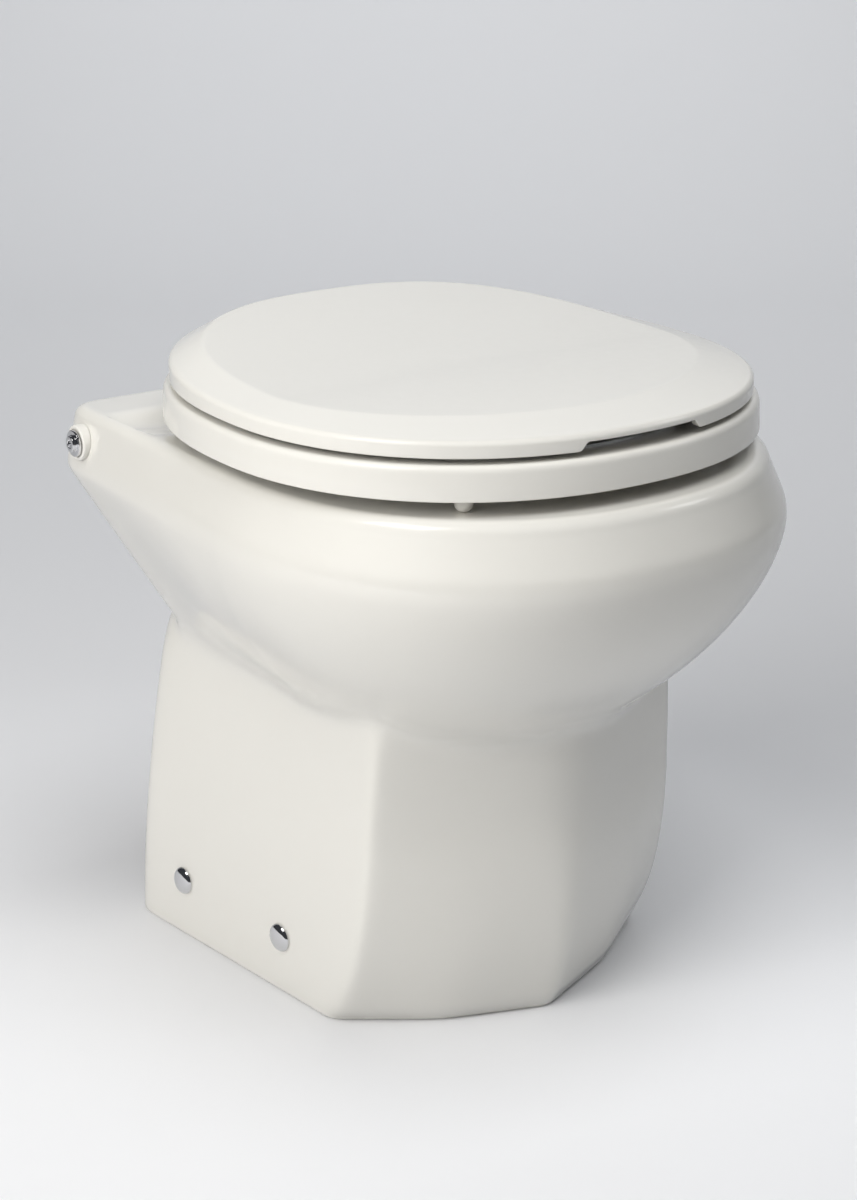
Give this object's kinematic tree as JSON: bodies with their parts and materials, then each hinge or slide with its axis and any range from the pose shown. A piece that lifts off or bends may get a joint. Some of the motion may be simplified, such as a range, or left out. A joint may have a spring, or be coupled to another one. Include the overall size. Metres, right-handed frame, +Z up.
{
  "type": "electric marine toilet",
  "caption": "Electric marine toilet: oval ceramic bowl on a prow-fronted pedestal, hinged seat and lid, chrome floor fixings, macerator pump, motor and rinse water valve inside.",
  "frame": {"origin": "on the floor, under the middle of the part's bounding box", "axes": "+X to the right of a person who faces away from the toilet's rear, -Y towards the front of the bowl, +Z up"},
  "size_m": [0.3898, 0.442, 0.4511],
  "materials": {
    "ceramic": "warm white gloss glaze",
    "seat_plastic": "warm white, gloss",
    "white_plastic": "white moulded nylon",
    "chrome": "polished",
    "steel": "stainless, fine brushed",
    "rubber": "black, matt",
    "pump_plastic": "black glass-filled moulding",
    "motor_paint": "dark grey enamel",
    "hose": "translucent white flexible hose"
  },
  "bodies": {
    "pedestal": {"bowl_pedestal": "ceramic", "discharge_tail": "pump_plastic", "floor_bracket_left": "steel", "floor_bracket_right": "steel", "hinge_bush_left": "white_plastic", "hinge_bush_right": "white_plastic", "hinge_end_screw_left": "chrome", "hinge_end_screw_right": "chrome", "hinge_rod": "steel", "hose_clamp_nozzle": "steel", "hose_clamp_valve": "steel", "intake_chamber": "pump_plastic", "joker_valve": "rubber", "macerator_housing": "pump_plastic", "motor_can": "motor_paint", "motor_end_cap": "pump_plastic", "motor_foot": "pump_plastic", "motor_magnet_front": "motor_paint", "motor_magnet_rear": "motor_paint", "motor_strap": "steel", "outlet_gasket": "rubber", "rinse_coil": "motor_paint", "rinse_hose": "hose", "rinse_nozzle": "white_plastic", "rinse_spring": "steel", "rinse_valve_body": "pump_plastic", "rubber_foot_front": "rubber", "rubber_foot_rear": "rubber", "screw_cap_front_left": "chrome", "screw_cap_front_right": "chrome", "screw_cap_rear_left": "chrome", "screw_cap_rear_right": "chrome", "shaft_seal": "rubber", "side_screw_front_left": "steel", "side_screw_front_right": "steel", "side_screw_rear_left": "steel", "side_screw_rear_right": "steel", "valve_strip": "steel", "wear_plate": "steel"},
    "seat": {"seat_bumper_front_left": "white_plastic", "seat_bumper_front_right": "white_plastic", "seat_bumper_rear_left": "white_plastic", "seat_bumper_rear_right": "white_plastic", "seat_hinge_arm_left": "seat_plastic", "seat_hinge_arm_right": "seat_plastic", "seat_ring": "seat_plastic"},
    "lid": {"lid_bumper_front_left": "white_plastic", "lid_bumper_front_right": "white_plastic", "lid_bumper_rear_left": "white_plastic", "lid_bumper_rear_right": "white_plastic", "lid_cover": "seat_plastic", "lid_hinge_arm_left": "seat_plastic", "lid_hinge_arm_right": "seat_plastic"},
    "rotor": {"rotor_shaft": "steel", "motor_armature": "steel", "impeller": "pump_plastic", "chopper_blade": "steel"},
    "plunger": {"rinse_plunger": "steel"}
  },
  "joints": [
    {"name": "seat_hinge", "type": "hinge", "parent": "pedestal", "child": "seat", "pos_m": [0, 0.1865, 0.365], "axis": [-1, 0, 0], "range_deg": [0, 45]},
    {"name": "lid_hinge", "type": "hinge", "parent": "seat", "child": "lid", "pos_m": [0, 0.1865, 0.365], "axis": [1, 0, 0], "range_deg": [-95, 0]},
    {"name": "rotor_spin", "type": "hinge", "parent": "pedestal", "child": "rotor", "pos_m": [0, 0.03, 0.078], "axis": [1, 0, 0], "continuous": true},
    {"name": "plunger_slide", "type": "slide", "parent": "pedestal", "child": "plunger", "axis": [0, 0, 1], "range_m": [0, 0.0025], "stiffness_N_per_m": 400, "springref_m": -0.004, "deforming": ["rinse_spring"]}
  ]
}
